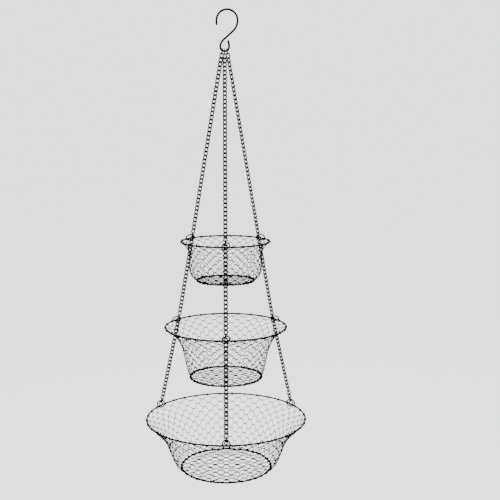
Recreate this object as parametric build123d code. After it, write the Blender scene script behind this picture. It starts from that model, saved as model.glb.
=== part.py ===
from build123d import *
import os
from math import cos, degrees, radians, sin, sqrt

# Three-tier hanging wire produce basket. All sizes in millimetres, +Z up.
# The origin is the seat of the S-hook: the highest point of its inside, on the load line.
# The front chain hangs at -Y, the other two at the back left and back right.

# ---- driving dimensions ----------------------------------------------------------------------
# S-hook
hook_wire = 3.6
bow_radius = 17.4          # open upper bow, to the wire's centre line
bow_offset = 4.0           # the bow's centre stands this far right of the load line
bow_height = 50.3          # the bow's centre above the eye's lowest point
bow_tip_drop = 8.3         # straight tip of the bow
shoulder_radius = 24.0
shoulder_angle = 48.0
eye_radius = 7.3
eye_tip_radius = 26.7
eye_tip_angle = 23.4
hook_tip_round = 1.3

# chain
chain_wire = 1.8
link_bore_width = 3.5      # inside a link
link_bore_length = 7.05
link_play = 0.15           # between two neighbouring links that pull on each other
upper_pairs = 23           # pairs of links from the eye link to the top ring link
middle_pairs = 11          # from the top ring link to the middle ring link
lower_pairs = 12           # from the middle ring link to the bottom ring link
eye_link_side_play = 0.35  # between the hook's wire and the legs of the links that hang on it
eye_link_slack = 1.85      # length left over inside those links
eye_link_spread = 4.0      # the side chains' first links sit this far along the eye
eye_link_play = 0.6        # clearance of the first links around the hook's wire
side_chain_turn = 20.0     # turn of the side chains' upper links, which keeps them off the front chain
tail_turn = {"front": 0.0, "left": 20.0, "right": -20.0}   # flat side towards the rim
tail_lean = 52.0           # degrees that the free tail link leans in from the chain's line

# jump rings
ring_wire = 2.3
ring_slack = 6.0           # room inside a ring beyond two rim wires side by side
ring_split = 0.4
ring_yaw = {"front": 25.5, "left": -16.0, "right": 16.0}    # lets the rims thread the rings
ring_link_turn = {"front": 5.0, "left": 7.0, "right": -7.0}  # ring links face their rings

# baskets, from the top down
rim_wire = 2.8
base_wire = 2.8
net_thickness = 0.8
front_azimuth = -90.0
left_azimuth = 150.0
right_azimuth = 30.0
tiers = {
    "top": dict(
        rim_radius=75.5, base_radius=48.6, depth=67.2,
        wall=[(71.5, 3.8), (66.0, 10.8), (62.4, 19.0), (62.2, 36.0), (61.2, 51.8), (56.5, 61.0)],
        chain_inset=6.7, rim_drop=6.2, side_shift=3.5,
        opening_reach=13.5, opening_drop=16.5),
    "middle": dict(
        rim_radius=104.5, base_radius=62.0, depth=88.6,
        wall=[(93.0, 8.7), (83.0, 19.7), (75.0, 37.7), (70.7, 56.7), (66.8, 74.7)],
        chain_inset=7.2, rim_drop=6.0, side_shift=1.0,
        opening_reach=14.0, opening_drop=11.0),
    "bottom": dict(
        rim_radius=138.8, base_radius=78.5, depth=87.8,
        wall=[(126.0, 13.5), (113.0, 27.0), (105.0, 41.0), (96.5, 63.0), (88.5, 80.0)],
        chain_inset=2.2, rim_drop=9.0, side_shift=0.5,
        opening_reach=8.0, opening_drop=9.0),
}
# rim_radius, base_radius and depth are to the wires' centre lines; wall is the netting between
# them as (radius, depth below the rim); chain_inset is how far inside the rim the chains pass;
# rim_drop is how far the rim hangs below its ring links; side_shift is in degrees, to the back
basket_turn = 1.0          # degrees that a basket can turn in its rings
opening_half_width = 7.8   # of the netting's opening at each ring, before the basket turns

# ---- worked-out sizes ------------------------------------------------------------------------
link_width = link_bore_width + 2 * chain_wire
link_length = link_bore_length + 2 * chain_wire
link_half = (link_length - chain_wire) / 2                # link centre to its end's centre line
pitch = 2 * link_half - chain_wire - link_play
eye_link_width = hook_wire + 2 * (eye_link_side_play + chain_wire)
eye_link_length = hook_wire + eye_link_play + eye_link_slack + 3 * chain_wire
eye_link_half = (eye_link_length - chain_wire) / 2
eye_hang = eye_link_half - (hook_wire + chain_wire) / 2 - eye_link_play
eye_link_extra = eye_link_half - link_half
ring_radius = rim_wire + (ring_slack + ring_wire) / 2     # centre line
eye_z = -bow_height - sqrt((bow_radius - hook_wire / 2) ** 2 - bow_offset ** 2)
azimuths = {"front": front_azimuth, "left": left_azimuth, "right": right_azimuth}
link_counts = {"top": 2 * upper_pairs, "middle": 2 * middle_pairs, "bottom": 2 * lower_pairs}


def ring_azimuth(side, tier):
    """Rings sit about a third of the way round from each other, the side ones shifted back."""
    shift = tiers[tier]["side_shift"] * {"front": 0, "left": -1, "right": 1}[side]
    return azimuths[side] + shift


def radial(azimuth, radius, z=0.0):
    return Vector(radius * cos(radians(azimuth)), radius * sin(radians(azimuth)), z)


def save(node, *solids):
    """Writes one node: one solid, or a group of separate ones."""
    shape = solids[0] if len(solids) == 1 else Compound(children=list(solids))
    shape.label = node
    export_step(shape, f"parts/{node}.step")


# ---- S-hook ----------------------------------------------------------------------------------
def s_hook():
    """One bent wire: straight tip, bow, shoulder, diagonal, teardrop eye and its closing tip."""
    turn = radians(shoulder_angle)
    shoulder_x = bow_offset + bow_radius - shoulder_radius * (1 - cos(turn))
    shoulder_y = bow_height - shoulder_radius * sin(turn)
    across, drop = shoulder_x + eye_radius, shoulder_y - eye_radius
    diagonal = (across * sin(turn) - drop * (1 - cos(turn))) / (1 - cos(turn))
    throat_radius = (drop * sin(turn) - across * cos(turn)) / (1 - cos(turn))

    tip = (bow_offset - bow_radius, bow_height - bow_tip_drop)
    runs = [Line(tip, (tip[0], bow_height))]
    runs.append(JernArc(runs[-1] @ 1, runs[-1] % 1, bow_radius, -180))
    runs.append(JernArc(runs[-1] @ 1, runs[-1] % 1, shoulder_radius, -shoulder_angle))
    runs.append(Line(runs[-1] @ 1, runs[-1] @ 1 + (runs[-1] % 1) * diagonal))
    runs.append(JernArc(runs[-1] @ 1, runs[-1] % 1, throat_radius, shoulder_angle))
    runs.append(JernArc(runs[-1] @ 1, runs[-1] % 1, eye_radius, 180))
    runs.append(JernArc(runs[-1] @ 1, runs[-1] % 1, eye_tip_radius, eye_tip_angle))
    path = Wire([Plane.XZ * run for run in runs])
    section = Plane(origin=path @ 0, z_dir=path % 0) * Circle(hook_wire / 2)
    bent = sweep(section, path=path)
    ends = bent.faces().filter_by(GeomType.PLANE).edges()
    return Pos(0, 0, eye_z) * fillet(ends, hook_tip_round)


# ---- chain -----------------------------------------------------------------------------------
def chain_link(width, length):
    """One link, its length along Z and its width along X."""
    bend = (width - chain_wire) / 2
    leg = length - chain_wire - 2 * bend
    half_ring = Rot(90, 0, 0) * Torus(bend, chain_wire / 2, major_angle=180, align=None)
    shape = Pos(0, 0, leg / 2) * half_ring + Rot(0, 180, 0) * Pos(0, 0, leg / 2) * half_ring
    for x in (-bend, bend):
        shape += Pos(x, 0, 0) * Cylinder(chain_wire / 2, leg)
    return shape.solid()


def placed_link(centre, along, index, turn=0.0, shape=None):
    """Even links stand across the X axis, and odd links lie square to them."""
    normal = (Vector(1, 0, 0) - along * along.X).normalized()
    width = along.cross(normal) if index % 2 == 0 else normal
    plane = Plane(origin=centre, x_dir=width, z_dir=along)
    return plane.location * Rot(0, 0, turn) * (shape or link)


def eye_point(side):
    """Where a chain's first link hangs on the eye: the side chains sit a little up its curve."""
    x = {"front": 0.0, "left": -eye_link_spread, "right": eye_link_spread}[side]
    return Vector(x, 0, eye_z + eye_radius - sqrt(eye_radius ** 2 - x ** 2))


def next_node(start, side, tier, length):
    """The centre of a ring link that hangs a taut chain's length below start."""
    size = tiers[tier]
    flat = radial(ring_azimuth(side, tier), size["rim_radius"] - size["chain_inset"])
    across = Vector(flat.X - start.X, flat.Y - start.Y, 0).length
    return Vector(flat.X, flat.Y, start.Z - sqrt(length ** 2 - across ** 2))


def chain_route(side):
    """Centres of the ring links, after the start that spaces the upper chain's links from them.

    The eye link ends where a plain link at that start would end, and is longer upwards.
    """
    eye = eye_point(side)
    hang = eye_hang + eye_link_extra
    top = next_node(eye, side, "top", link_counts["top"] * pitch + hang)
    route = [eye + (top - eye).normalized() * hang, top]
    for tier in ("middle", "bottom"):
        route.append(next_node(route[-1], side, tier, link_counts[tier] * pitch))
    return route


def chain_run(start, end, count, turn=0.0):
    """The links strictly between two ring links."""
    step = (end - start) / count
    return [placed_link(start + step * i, -step.normalized(), i, turn) for i in range(1, count)]


def ring_link(side, before, node, after):
    """The link that carries a ring, standing midway between the runs above and below it."""
    along = ((before - node).normalized() + (node - after).normalized()).normalized()
    return placed_link(node, along, 0, ring_link_turn[side])


def tail_link(side, before, node):
    """The spare link that dangles from the bottom ring link."""
    line = (node - before).normalized()
    hang = line.rotate(Axis.X, tail_lean if side == "front" else -tail_lean)
    pivot = node + line * (pitch - link_half)
    return placed_link(pivot + hang * link_half, -hang, 1, tail_turn[side])


# ---- jump rings ------------------------------------------------------------------------------
def rim_crossing(side, tier, node):
    """Where the rim threads the ring, straight out from the chain."""
    size = tiers[tier]
    return radial(ring_azimuth(side, tier), size["rim_radius"], node.Z - size["rim_drop"])


def jump_ring(side, tier, node):
    """A split ring through the ring link, with the rim hanging in it."""
    reach = (rim_crossing(side, tier, node) - node).normalized()
    across = (Vector(1, 0, 0) - reach * reach.X).normalized()
    across = across.rotate(Axis((0, 0, 0), tuple(reach)), ring_yaw[side])
    open_angle = degrees(ring_split / ring_radius)
    ring = Torus(ring_radius, ring_wire / 2, major_angle=360 - open_angle, align=None)
    centre = node + reach * ring_radius
    return Plane(origin=centre, x_dir=across, z_dir=across.cross(reach)).location * ring


# ---- baskets ---------------------------------------------------------------------------------
def hoop(radius, wire, z):
    return Pos(0, 0, z) * Torus(radius, wire / 2)


def wall_outline(size, offset):
    """The wall's centre line from rim to base, as (radius, depth), moved sideways by offset."""
    points = [(size["rim_radius"], 0.0)] + size["wall"] + [(size["base_radius"], size["depth"])]
    moved = []
    for i, (r, d) in enumerate(points):
        r0, d0 = points[max(i - 1, 0)]
        r1, d1 = points[min(i + 1, len(points) - 1)]
        run = sqrt((r1 - r0) ** 2 + (d1 - d0) ** 2)
        moved.append((r + offset * (d1 - d0) / run, 0, -d - offset * (r0 - r1) / run))
    return moved


def side_netting(tier, rim_z, rim, base):
    """The netting wall as a thin skin, open where the chains and rings pass through it."""
    size = tiers[tier]
    outer = wall_outline(size, net_thickness / 2)
    inner = wall_outline(size, -net_thickness / 2)
    outline = Polyline(*outer, *reversed(inner), close=True)
    skin = Pos(0, 0, rim_z) * revolve(make_face(outline), Axis.Z)
    skin = skin - rim - base
    reach, drop = size["opening_reach"], size["opening_drop"]
    half = opening_half_width + size["rim_radius"] * sin(radians(basket_turn))
    for side in azimuths:
        gap = Box(2 * reach, 2 * half, 2 * drop)
        skin -= Rot(0, 0, ring_azimuth(side, tier)) * Pos(size["rim_radius"], 0, rim_z) * gap
    return skin.solid()


def basket(tier, rim_z):
    size = tiers[tier]
    base_z = rim_z - size["depth"]
    rim = hoop(size["rim_radius"], rim_wire, rim_z)
    base = hoop(size["base_radius"], base_wire, base_z)
    floor = Pos(0, 0, base_z) * Cylinder(size["base_radius"], net_thickness) - base
    save(f"{tier}_rim", rim)
    save(f"{tier}_base_ring", base)
    save(f"{tier}_side_netting", side_netting(tier, rim_z, rim, base))
    save(f"{tier}_base_netting", floor.solid())


# ---- assembly --------------------------------------------------------------------------------
os.makedirs("parts", exist_ok=True)
link = chain_link(link_width, link_length)
large_link = chain_link(eye_link_width, eye_link_length)
save("s_hook", s_hook())

for side in azimuths:
    start, top, middle, bottom = chain_route(side)
    up = (start - top).normalized()
    save(f"{side}_eye_link", placed_link(start + up * eye_link_extra, up, 0, 0.0, large_link))
    turn = side_chain_turn * {"front": 0, "left": 1, "right": -1}[side]
    save(f"{side}_upper_chain", *chain_run(start, top, link_counts["top"], turn))
    save(f"{side}_top_ring_link", ring_link(side, start, top, middle))
    save(f"{side}_middle_chain", *chain_run(top, middle, link_counts["middle"]))
    save(f"{side}_middle_ring_link", ring_link(side, top, middle, bottom))
    save(f"{side}_lower_chain", *chain_run(middle, bottom, link_counts["bottom"]))
    lowest = placed_link(bottom, (middle - bottom).normalized(), 0, ring_link_turn[side])
    save(f"{side}_bottom_ring_link", lowest)
    save(f"{side}_tail_link", tail_link(side, middle, bottom))
    for tier, node in (("top", top), ("middle", middle), ("bottom", bottom)):
        save(f"{side}_{tier}_ring", jump_ring(side, tier, node))

for tier, node in zip(tiers, chain_route("front")[1:]):
    basket(tier, node.Z - tiers[tier]["rim_drop"])
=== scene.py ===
import math
import random

import bpy
import numpy as np
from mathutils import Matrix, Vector


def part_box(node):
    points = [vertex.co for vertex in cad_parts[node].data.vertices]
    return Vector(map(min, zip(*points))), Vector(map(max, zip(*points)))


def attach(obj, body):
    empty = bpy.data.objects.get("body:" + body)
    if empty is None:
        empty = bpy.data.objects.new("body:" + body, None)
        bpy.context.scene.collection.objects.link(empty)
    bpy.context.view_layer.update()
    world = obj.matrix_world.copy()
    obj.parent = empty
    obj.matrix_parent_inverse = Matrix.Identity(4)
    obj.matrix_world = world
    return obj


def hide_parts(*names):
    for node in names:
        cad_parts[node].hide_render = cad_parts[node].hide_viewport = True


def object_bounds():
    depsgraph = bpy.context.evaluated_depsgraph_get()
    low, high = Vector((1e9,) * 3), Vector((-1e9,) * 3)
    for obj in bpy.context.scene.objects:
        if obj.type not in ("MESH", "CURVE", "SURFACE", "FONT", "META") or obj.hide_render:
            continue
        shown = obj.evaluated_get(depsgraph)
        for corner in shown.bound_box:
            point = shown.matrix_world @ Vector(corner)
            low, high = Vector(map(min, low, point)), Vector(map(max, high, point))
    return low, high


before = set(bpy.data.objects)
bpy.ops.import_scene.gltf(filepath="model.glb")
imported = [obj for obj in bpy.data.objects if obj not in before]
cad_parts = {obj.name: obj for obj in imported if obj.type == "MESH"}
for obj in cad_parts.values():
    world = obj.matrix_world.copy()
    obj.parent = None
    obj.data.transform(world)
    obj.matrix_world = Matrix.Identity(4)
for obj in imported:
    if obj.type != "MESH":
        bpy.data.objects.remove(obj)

# A three-tier hanging wire produce basket. Lengths are in metres, in the frame's own axes:
# +Z is up, the front chain hangs at -Y and the origin is the seat of the S-hook.
MM = 0.001
cad_low, cad_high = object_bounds()
chance = random.Random(11)

# ---- sizes -----------------------------------------------------------------------------------
SIDES = ("front", "left", "right")
TIERS = ("top", "middle", "bottom")

# chain: twisted curb links
CHAIN_WIRE = 2.1 * MM
LINK_WIDTH = 7.4 * MM
LINK_LENGTH = 11.25 * MM
EYE_LINK_EXTRA = 0.4 * MM          # how much longer an eye link is than a plain one, each way
LINK_COUNTS = {"upper": 46, "middle": 22, "lower": 24}   # steps from node link to node link
CHAIN_FACING = {"front": 0.0, "left": 0.0, "right": 45.0}   # degrees that the flat face is turned
CHAIN_TWIST = 45.0       # degrees that each end of a link is twisted out of its middle's plane
LINK_BEND_POINTS = 12
LINK_LEG_POINTS = 3
LINK_SIDES = 9

# netting: zigzag wires, twisted in pairs where they meet
NET_WIRE = 0.95 * MM
NET_SIDES = 6
ROW_HEIGHT = {"top": 7.3 * MM, "middle": 7.3 * MM, "bottom": 8.3 * MM}
THIRD_COLUMNS = {"top": 8, "middle": 9, "bottom": 12}    # cells from one ring to the next
BAR_SHARE = 0.28         # twisted bar's length as a share of the cells' spacing
BAR_TURNS = 2
BAR_POINTS = 14
LEG_POINTS = 3
WRAP_TURNS = 1
WRAP_PITCH = 1.05 * MM
WRAP_POINTS = 14
NET_UNEVEN = 0.22 * MM   # how far hand work moves a bar
TWIST_REACH = 0.53 * NET_WIRE    # from a twisted bar's middle line to each wire's
WRAP_LIFT = 1.02         # a wrap's radius as a share of the radius that just touches the hoop
WRAP_LOOK = 3 * MM       # how far along the wall a wrap looks to find its lean
LACE_TURNS = 1.5         # turns of the base netting's ends round the base ring
LEG_BOW = 0.16           # how strongly a single wire eases out of its bars
BASE_ROW_SHARE = 1.02    # the base netting's rows as a share of the side netting's
BASE_CELL_SHARE = 2.35   # the base netting's cell spacing as a share of its rows
SHORTEST_WIRE = 12       # points in the shortest base netting wire that is kept
SLOPE_STEP = 1.5 * MM    # how far to each side the wall's slope is read
CURVE_STEPS = 12         # points from one corner of the wall to the next

# hoops, as in the frame
HOOP_WIRE = 2.8 * MM
WALLS = {                # (radius, depth below the rim) of the wall between rim and base, in mm
    "top": [(71.5, 3.8), (66.0, 10.8), (62.4, 19.0), (62.2, 36.0), (61.2, 51.8), (56.5, 61.0)],
    "middle": [(93.0, 8.7), (83.0, 19.7), (75.0, 37.7), (70.7, 56.7), (66.8, 74.7)],
    "bottom": [(126.0, 13.5), (113.0, 27.0), (105.0, 41.0), (96.5, 63.0), (88.5, 80.0)],
}
# the cell that a chain and ring pass through: half its width along the rim, and its depth
GATE = {
    "top": (10.2 * MM, 11.0 * MM),
    "middle": (10.8 * MM, 9.0 * MM),
    "bottom": (11.2 * MM, 7.0 * MM),
}
GATE_SHARPNESS = 4


# ---- mesh helpers ----------------------------------------------------------------------------
def centre(node):
    low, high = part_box(node)
    return (low + high) / 2


def unit(v):
    return v / np.linalg.norm(v, axis=-1, keepdims=True)


class Tubes:
    """Gathers round wires into one mesh."""

    def __init__(self):
        self.points, self.faces, self.count = [], [], 0

    def add(self, path, radius, sides, hint, closed=True):
        """A wire along path. hint is a direction, or one per point, that is never along it."""
        n = len(path)
        if closed:
            along = unit(np.roll(path, -1, 0) - np.roll(path, 1, 0))
        else:
            along = unit(np.gradient(path, axis=0))
        hint = np.broadcast_to(hint, path.shape)
        side = unit(hint - along * (hint * along).sum(1, keepdims=True))
        other = np.cross(along, side)
        turn = np.arange(sides) * 2 * math.pi / sides
        ring = (side[:, None] * np.cos(turn)[None, :, None]
                + other[:, None] * np.sin(turn)[None, :, None])
        self.points.append((path[:, None] + ring * radius).reshape(-1, 3))
        rows = np.arange(n if closed else n - 1)
        a = rows[:, None] * sides + np.arange(sides)[None]
        b = rows[:, None] * sides + (np.arange(sides)[None] + 1) % sides
        step = ((rows + 1) % n)[:, None] * sides
        c = step + (np.arange(sides)[None] + 1) % sides
        d = step + np.arange(sides)[None]
        quads = np.stack([a, b, c, d], -1).reshape(-1, 4) + self.count
        self.faces += quads.tolist()
        if not closed:
            self.faces.append((np.arange(sides)[::-1] + self.count).tolist())
            self.faces.append((np.arange(sides) + self.count + (n - 1) * sides).tolist())
        self.count += n * sides

    def piece(self, name, material, body, slot, *nodes):
        mesh = bpy.data.meshes.new(name)
        mesh.from_pydata(np.concatenate(self.points).tolist(), [], self.faces)
        mesh.shade_smooth()
        mesh.materials.append(material)
        made = bpy.data.objects.new(name, mesh)
        bpy.context.collection.objects.link(made)
        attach(made, body)
        if nodes:
            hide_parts(*nodes)
        return made


# ---- materials -------------------------------------------------------------------------------
def enamel(name, colour, worn, roughness, coat, grain):
    """Black baked enamel on steel wire: uneven gloss, fine orange peel and rubbed high spots."""
    material = bpy.data.materials.new(name)
    material.use_nodes = True
    nodes, links = material.node_tree.nodes, material.node_tree.links
    shader = nodes["Principled BSDF"]
    shader.inputs["Metallic"].default_value = 0.0
    shader.inputs["Coat Weight"].default_value = coat
    shader.inputs["Coat Roughness"].default_value = 0.12
    place = nodes.new("ShaderNodeTexCoord")

    def noise(scale, detail):
        made = nodes.new("ShaderNodeTexNoise")
        made.inputs["Scale"].default_value = scale
        made.inputs["Detail"].default_value = detail
        links.new(place.outputs["Object"], made.inputs["Vector"])
        return made

    def ramp(source, *stops):
        made = nodes.new("ShaderNodeValToRGB")
        for at, value in stops[1:-1]:
            made.color_ramp.elements.new(at)
        for element, (at, value) in zip(made.color_ramp.elements, stops):
            element.position = at
            element.color = value if len(value) == 4 else (*value, 1)
        links.new(source, made.inputs["Fac"])
        return made

    def grey(value):
        return (value, value, value, 1)

    cloud, rub, peel = noise(55, 3), noise(420, 5), noise(grain, 2)
    tone = ramp(cloud.outputs["Fac"], (0.3, tuple(0.7 * c for c in colour)), (0.7, colour))
    rubbed = ramp(rub.outputs["Fac"], (0.66, grey(0)), (0.78, grey(worn)))
    mix = nodes.new("ShaderNodeMix")
    mix.data_type = "RGBA"
    links.new(rubbed.outputs["Color"], mix.inputs["Factor"])
    links.new(tone.outputs["Color"], mix.inputs["A"])
    mix.inputs["B"].default_value = (0.16, 0.155, 0.15, 1)
    links.new(mix.outputs["Result"], shader.inputs["Base Color"])
    gloss = ramp(cloud.outputs["Fac"], (0.3, grey(roughness * 0.8)), (0.75, grey(roughness * 1.3)))
    links.new(gloss.outputs["Color"], shader.inputs["Roughness"])
    bump = nodes.new("ShaderNodeBump")
    bump.inputs["Strength"].default_value = 0.25
    bump.inputs["Distance"].default_value = 0.05 * MM
    links.new(peel.outputs["Fac"], bump.inputs["Height"])
    links.new(bump.outputs["Normal"], shader.inputs["Normal"])
    return material


hook_enamel = enamel("hook_enamel", (0.012, 0.012, 0.013), 0.5, 0.34, 0.35, 900)
hoop_enamel = enamel("hoop_enamel", (0.010, 0.010, 0.011), 0.4, 0.36, 0.30, 1000)
ring_enamel = enamel("ring_enamel", (0.012, 0.012, 0.013), 0.6, 0.32, 0.35, 1200)
chain_enamel = enamel("chain_enamel", (0.013, 0.013, 0.014), 0.6, 0.36, 0.30, 1400)
net_enamel = enamel("net_enamel", (0.020, 0.020, 0.022), 0.5, 0.42, 0.20, 1800)


def coat_node(node, material):
    """Gives a shown CAD node its material."""
    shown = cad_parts[node]
    for place in shown.material_slots:
        place.material = material


# ---- chain -----------------------------------------------------------------------------------
LINK_HALF = (LINK_LENGTH - CHAIN_WIRE) / 2
LINK_BEND = (LINK_WIDTH - CHAIN_WIRE) / 2


def link_outline():
    """A plain link's centre line, as (across, along) from its middle."""
    leg = LINK_HALF - LINK_BEND
    bend = np.linspace(0, math.pi, LINK_BEND_POINTS)
    top = np.stack([LINK_BEND * np.cos(bend), leg + LINK_BEND * np.sin(bend)], 1)
    down = np.linspace(leg, -leg, LINK_LEG_POINTS + 2)[1:-1]
    left = np.stack([np.full(LINK_LEG_POINTS, -LINK_BEND), down], 1)
    return np.concatenate([top, left, -top, -left])


def add_link(tubes, middle, up, across, top_turn, low_turn):
    """One curb link. Its ends are turned about its length by these angles, in degrees."""
    outline = link_outline()
    depth = np.cross(up, across)
    share = (outline[:, 1] / LINK_HALF + 1) / 2
    turn = np.radians(low_turn + (top_turn - low_turn) * share)
    facing = across * np.cos(turn)[:, None] + depth * np.sin(turn)[:, None]
    normal = depth * np.cos(turn)[:, None] - across * np.sin(turn)[:, None]
    path = middle + facing * outline[:, :1] + up * outline[:, 1:]
    tubes.add(path, CHAIN_WIRE / 2, LINK_SIDES, normal)


def chain(side, stretch, first, last, body):
    """The links between two node links, whose own plane is square to the X axis."""
    start, end = np.array(centre(first)), np.array(centre(last))
    count = LINK_COUNTS[stretch]
    up = unit(start - end)
    if stretch == "upper":
        start = start - up * EYE_LINK_EXTRA
    across = unit(np.array((1.0, 0, 0)) - up * up[0])
    facing = CHAIN_FACING[side]
    tubes = Tubes()
    for i in range(1, count):
        top_turn = 0.0 if i == 1 else facing + CHAIN_TWIST
        low_turn = 0.0 if i == count - 1 else facing - CHAIN_TWIST
        add_link(tubes, start + (end - start) * i / count, up, across, top_turn, low_turn)
    node = f"{side}_{stretch}_chain"
    tubes.piece(f"{node}_links", chain_enamel, body, "chain_wire", node)


# ---- netting ---------------------------------------------------------------------------------
class Wall:
    """The netting's surface: where a point at a turn round the basket and a length down lies."""

    def __init__(self, tier):
        rim_low, rim_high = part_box(f"{tier}_rim")
        base_low, base_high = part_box(f"{tier}_base_ring")
        self.rim_radius = (rim_high.x - rim_low.x - HOOP_WIRE) / 2
        self.base_radius = (base_high.x - base_low.x - HOOP_WIRE) / 2
        self.rim_z = (rim_low.z + rim_high.z) / 2
        self.base_z = (base_low.z + base_high.z) / 2
        depth = self.rim_z - self.base_z
        corners = [(self.rim_radius, 0.0)]
        corners += [(r * MM, d * MM) for r, d in WALLS[tier]]
        corners.append((self.base_radius, depth))
        self.outline = smooth(np.array(corners))
        steps = np.linalg.norm(np.diff(self.outline, axis=0), axis=1)
        self.lengths = np.concatenate([[0], np.cumsum(steps)])
        self.length = self.lengths[-1]
        self.rows = round(self.length / ROW_HEIGHT[tier])
        self.row = self.length / self.rows
        self.gate = GATE[tier]
        self.rings = sorted(ring_turn(side, tier) for side in SIDES)
        self.third = THIRD_COLUMNS[tier]

    def turn(self, column):
        """The turn round the basket of a column, counted in cells from the first ring."""
        marks = [*self.rings, self.rings[0] + 2 * math.pi]
        lap = 3 * self.third
        laps, rest = np.divmod(column, lap)
        return np.interp(rest, np.arange(4) * self.third, marks) + laps * 2 * math.pi

    def profile(self, down):
        """Radius, height and outward normal's two parts at a length down the wall."""
        down = np.clip(down, 0, self.length)
        r = np.interp(down, self.lengths, self.outline[:, 0])
        d = np.interp(down, self.lengths, self.outline[:, 1])
        ahead = np.clip(down + SLOPE_STEP, 0, self.length)
        behind = np.clip(down - SLOPE_STEP, 0, self.length)
        dr, dd = (np.interp(ahead, self.lengths, self.outline[:, i])
                  - np.interp(behind, self.lengths, self.outline[:, i]) for i in (0, 1))
        size = np.hypot(dr, dd)
        return r, self.rim_z - d, dd / size, dr / size

    def part(self, turn, down):
        """Pushes the netting aside where a chain and its ring pass through."""
        r = self.profile(down)[0]
        wide, deep = self.gate
        for ring in self.rings:
            off = (turn - ring + math.pi) % (2 * math.pi) - math.pi
            far = np.hypot(off * r / wide, down / deep) + 1e-9
            grown = (1 + far ** GATE_SHARPNESS) ** (1 / GATE_SHARPNESS) / far
            turn, down = turn + off * (grown - 1), down * grown
        return turn, down

    def place(self, turn, down, out=0.0, lower=0.0):
        """The point there, moved outwards and down along the wall."""
        turn, down = self.part(np.asarray(turn, float), np.asarray(down, float))
        r, z, nr, nz = self.profile(down)
        r, z = r + nr * out + nz * lower, z + nz * out - nr * lower
        return np.stack([r * np.cos(turn), r * np.sin(turn), z], -1)


def smooth(corners, steps=CURVE_STEPS):
    """A curve through the corners that keeps their slopes."""
    slopes = np.gradient(corners, axis=0)
    t = np.linspace(0, 1, steps, endpoint=False)[:, None]
    h = (2 * t**3 - 3 * t**2 + 1, t**3 - 2 * t**2 + t, 3 * t**2 - 2 * t**3, t**3 - t**2)
    runs = []
    for a, b, sa, sb in zip(corners, corners[1:], slopes, slopes[1:]):
        runs.append(h[0] * a + h[1] * sa + h[2] * b + h[3] * sb)
    return np.concatenate([*runs, corners[-1:]])


def ring_turn(side, tier):
    """The turn round the basket at which a side's ring link stands."""
    middle = centre(f"{side}_{tier}_ring_link")
    return math.atan2(middle.y, middle.x)


def bar(wall, column, row, upper):
    """A twisted bar's share of one wire, from its left end to its right."""
    shift = wall.shifts[row][int(round(column * 2)) % (6 * wall.third)]
    column, down = column + shift[0], row * wall.row + shift[1]
    share = np.linspace(-0.5, 0.5, BAR_POINTS)
    spin = (share + 0.5) * 2 * math.pi * BAR_TURNS
    reach = TWIST_REACH * (1 if upper else -1)
    turn = wall.turn(column + share * BAR_SHARE)
    return wall.place(turn, np.full(BAR_POINTS, down), reach * np.sin(spin), -reach * np.cos(spin))


def wrap(wall, column, row):
    """A tight turn round the rim or the base ring, from left to right."""
    at_rim = row == 0
    radius, z = (wall.rim_radius, wall.rim_z) if at_rim else (wall.base_radius, wall.base_z)
    down = 0.0 if at_rim else wall.length
    turn = wall.part(wall.turn(np.array(column)), np.array(down * 1.0))[0]
    share = np.linspace(-0.5, 0.5, WRAP_POINTS)
    nearby = wall.profile(np.array(WRAP_LOOK if at_rim else wall.length - WRAP_LOOK))
    lean = math.atan2(nearby[1] - z, nearby[0] - radius)
    spin = lean + (share + 0.5) * 2 * math.pi * WRAP_TURNS
    coil = (HOOP_WIRE + NET_WIRE) / 2 * WRAP_LIFT
    turn = turn + share * WRAP_TURNS * WRAP_PITCH / radius
    r = radius + coil * np.cos(spin)
    return np.stack([r * np.cos(turn), r * np.sin(turn), z + coil * np.sin(spin)], -1)


def leg(a, b, bow=LEG_BOW):
    """The short single wire between two bars, easing out of one and into the other."""
    start, end = a[-1], b[0]
    t = np.linspace(0, 1, LEG_POINTS + 2)[1:-1, None]
    eased = t + bow * np.sin(2 * math.pi * t) * -0.5
    return start + (end - start) * eased


def side_netting(tier, body):
    wall = Wall(tier)
    wall.shifts = []
    for row in range(wall.rows + 1):
        loose = 0 if row in (0, wall.rows) else 1
        cell = 2 * math.pi * wall.rim_radius / (3 * wall.third)
        wall.shifts.append([(loose * chance.uniform(-1, 1) * NET_UNEVEN / cell,
                             loose * chance.uniform(-1, 1) * NET_UNEVEN)
                            for _ in range(6 * wall.third)])
    tubes = Tubes()
    for row in range(wall.rows):
        stations = []
        for column in range(3 * wall.third):
            # the rim's wraps stand half a cell to either side of each ring
            upper = column + 0.5 * ((row + 1) % 2)
            lower = upper + 0.5
            stations.append(wrap(wall, upper, row) if row == 0 else bar(wall, upper, row, False))
            last = row == wall.rows - 1
            stations.append(wrap(wall, lower, row + 1) if last else bar(wall, lower, row + 1, True))
        runs = []
        for a, b in zip(stations, stations[1:] + stations[:1]):
            runs += [a, leg(a, b)]
        path = np.concatenate(runs)
        outwards = unit(path * (1, 1, 0))
        tubes.add(path, NET_WIRE / 2, NET_SIDES, outwards)
    tubes.piece(f"{tier}_side_net", net_enamel, body, "netting_wire", f"{tier}_side_netting")
    return wall


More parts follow.
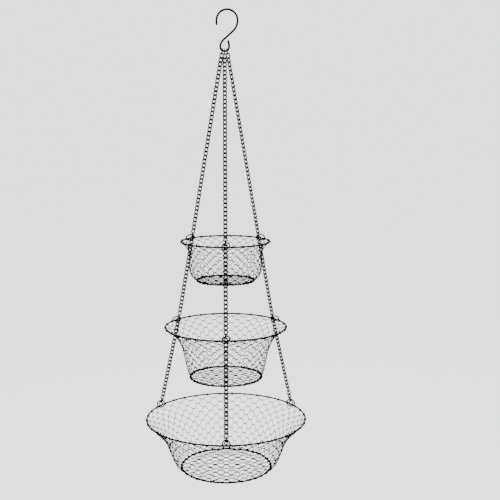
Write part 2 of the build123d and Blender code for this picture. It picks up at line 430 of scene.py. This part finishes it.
def base_netting(tier, wall, body):
    """Flat netting of the same twisted cells, laced to the base ring at its edge."""
    radius, z = wall.base_radius, wall.base_z
    row = ROW_HEIGHT[tier] * BASE_ROW_SHARE
    cell = BASE_CELL_SHARE * row
    bar_half = BAR_SHARE * cell / 2
    rows = int(radius / row)
    inside = radius - HOOP_WIRE / 2 - NET_WIRE
    tubes = Tubes()
    for k in range(-rows - 1, rows + 1):
        runs = []
        for c in range(-int(radius / cell) - 2, int(radius / cell) + 2):
            for half, upper in ((0, True), (1, False)):
                x = (c + 0.5 * (k % 2) + 0.5 * half) * cell
                y = (k + half) * row
                share = np.linspace(-0.5, 0.5, BAR_POINTS)
                spin = (share + 0.5) * 2 * math.pi * BAR_TURNS
                reach = TWIST_REACH * (-1 if upper else 1)
                runs.append(np.stack([x + share * 2 * bar_half, y - reach * np.cos(spin),
                                      z + reach * np.sin(spin)], -1))
        joined = []
        for a, b in zip(runs, runs[1:]):
            joined += [a, leg(a, b)]
        path = np.concatenate(joined)
        kept = path[np.hypot(path[:, 0], path[:, 1]) < inside]
        if len(kept) < SHORTEST_WIRE:
            continue
        ends = [lace(kept[i], radius, z, flip) for i, flip in ((0, False), (-1, True))]
        path = np.concatenate([ends[0], kept, ends[1][::-1]])
        tubes.add(path, NET_WIRE / 2, NET_SIDES, (0, 0, 1), closed=False)
    tubes.piece(f"{tier}_base_net", net_enamel, body, "netting_wire", f"{tier}_base_netting")


def lace(near, radius, z, flip):
    """An end of the flat netting's wire, wound round the base ring from its tip inwards."""
    turn = math.atan2(near[1], near[0])
    share = np.linspace(0, 1, WRAP_POINTS)
    spin = math.pi + (1 - share) * 2 * math.pi * LACE_TURNS
    coil = (HOOP_WIRE + NET_WIRE) / 2 * WRAP_LIFT
    way = 1 if flip else -1
    turn = turn + way * (1 - share) * LACE_TURNS * WRAP_PITCH / radius
    r = radius + coil * np.cos(spin)
    return np.stack([r * np.cos(turn), r * np.sin(turn), z + coil * np.sin(spin)], -1)


# ---- hoop welds ------------------------------------------------------------------------------
WELD_REACH = 1.6 * MM    # to each side of the joint
WELD_STEPS, WELD_SIDES = 9, 16
WELD_SWELL = 0.16        # how much thicker than the hoop
WELD_LUMPS = 0.03
WELD_SINK = 0.01         # how far the ends sink into the hoop
WELD_TURN = {"rim": 1.0, "base": 1.4}    # radians on from the first ring's cell
WELD_COLUMN = 0.25       # the cell that the turn is counted from


def weld(name, radius, z, turn, body):
    """The slight swelling where a hoop's two ends are butt-welded."""
    share = np.linspace(-1, 1, WELD_STEPS)
    angle = turn + share * WELD_REACH / radius
    path = np.stack([radius * np.cos(angle), radius * np.sin(angle), np.full(WELD_STEPS, z)], -1)
    tubes = Tubes()
    tubes.add(path, HOOP_WIRE / 2, WELD_SIDES, (0, 0, 1), closed=False)
    points = tubes.points[0].reshape(WELD_STEPS, WELD_SIDES, 3)
    swell = 1.0 + WELD_SWELL * np.cos(share * math.pi / 2)[:, None, None]
    lumps = [chance.uniform(-WELD_LUMPS, WELD_LUMPS) for _ in range(WELD_SIDES)]
    lumps = np.array(lumps)[None, :, None]
    edge = (1 - share ** 2)[:, None, None]
    points[:] = path[:, None] + (points - path[:, None]) * (swell + lumps * edge - WELD_SINK)
    tubes.piece(name, hoop_enamel, body, "hoop_wire")


# ---- the basket ------------------------------------------------------------------------------
coat_node("s_hook", hook_enamel)
for side in SIDES:
    for node in ("eye_link", "top_ring_link", "middle_ring_link", "bottom_ring_link", "tail_link"):
        coat_node(f"{side}_{node}", chain_enamel)
    for tier in TIERS:
        coat_node(f"{side}_{tier}_ring", ring_enamel)
    eye, top, middle, bottom = (f"{side}_{node}" for node in (
        "eye_link", "top_ring_link", "middle_ring_link", "bottom_ring_link"))
    chain(side, "upper", eye, top, "upper_tier")
    chain(side, "middle", top, middle, f"{side}_middle_chain_run")
    chain(side, "lower", middle, bottom, f"{side}_lower_chain_run")

for tier in TIERS:
    body = f"{tier}_basket"
    coat_node(f"{tier}_rim", hoop_enamel)
    coat_node(f"{tier}_base_ring", hoop_enamel)
    wall = side_netting(tier, body)
    base_netting(tier, wall, body)
    turn = wall.turn(np.array(WELD_COLUMN))
    weld(f"{tier}_rim_weld", wall.rim_radius, wall.rim_z, turn + WELD_TURN["rim"], body)
    weld(f"{tier}_base_weld", wall.base_radius, wall.base_z, turn + WELD_TURN["base"], body)


# ---- studio ----------------------------------------------------------------------------------
BACKDROP = 2.2           # brightness of the floor and of the world
FLOOR_SIZE = 30.0
FLOOR_DROP = 0.45        # below the basket
CAMERA_AT = (0.0, -1.502, -0.180)
CAMERA_DOWN = 8.28       # degrees
CAMERA_YAW = -1.6        # degrees
CAMERA_LENS, CAMERA_SENSOR = 63.8, 36.0    # millimetres


def floor():
    """A wide pale floor, some way under the hanging basket."""
    z = cad_low.z - FLOOR_DROP
    corners = [(x * FLOOR_SIZE, y * FLOOR_SIZE, z) for x, y in ((-1, -1), (1, -1), (1, 1), (-1, 1))]
    mesh = bpy.data.meshes.new("floor")
    mesh.from_pydata(corners, [], [(0, 1, 2, 3)])
    made = bpy.data.objects.new("floor", mesh)
    bpy.context.collection.objects.link(made)
    pale = bpy.data.materials.new("pale_floor")
    pale.use_nodes = True
    shader = pale.node_tree.nodes["Principled BSDF"]
    shader.inputs["Base Color"].default_value = (0.93, 0.93, 0.93, 1)
    shader.inputs["Roughness"].default_value = 0.85
    shader.inputs["Emission Color"].default_value = (1, 1, 1, 1)
    shader.inputs["Emission Strength"].default_value = BACKDROP
    mesh.materials.append(pale)
    # the bright floor and backdrop don't light the wires: the area lights do
    made.visible_diffuse = made.visible_glossy = False


def area_light(name, at, target, size, power):
    light = bpy.data.lights.new(name, "AREA")
    light.shape = "RECTANGLE"
    light.size, light.size_y = size
    light.energy = power
    made = bpy.data.objects.new(name, light)
    made.location = at
    made.rotation_euler = (Vector(target) - Vector(at)).to_track_quat("-Z", "Y").to_euler()
    bpy.context.collection.objects.link(made)


def studio():
    middle = (cad_low + cad_high) / 2
    area_light("key", (-1.6, -2.0, 1.2), middle, (1.6, 1.6), 30)
    area_light("fill", (2.0, -1.4, 0.3), middle, (1.4, 1.8), 12)
    area_light("back", (0.4, 2.2, 0.9), middle, (2.0, 1.2), 12)
    world = bpy.data.worlds.new("studio")
    world.use_nodes = True
    world.node_tree.nodes["Background"].inputs["Color"].default_value = (1, 1, 1, 1)
    world.node_tree.nodes["Background"].inputs["Strength"].default_value = BACKDROP
    world.cycles_visibility.diffuse = world.cycles_visibility.glossy = False
    bpy.context.scene.world = world


def camera():
    """A little above the top basket, looking slightly down at the whole length."""
    lens = bpy.data.cameras.new("camera")
    lens.sensor_width, lens.lens = CAMERA_SENSOR, CAMERA_LENS
    made = bpy.data.objects.new("camera", lens)
    made.location = CAMERA_AT
    made.rotation_euler = (math.radians(90 - CAMERA_DOWN), 0, math.radians(CAMERA_YAW))
    bpy.context.collection.objects.link(made)
    bpy.context.scene.camera = made


floor()
studio()
camera()
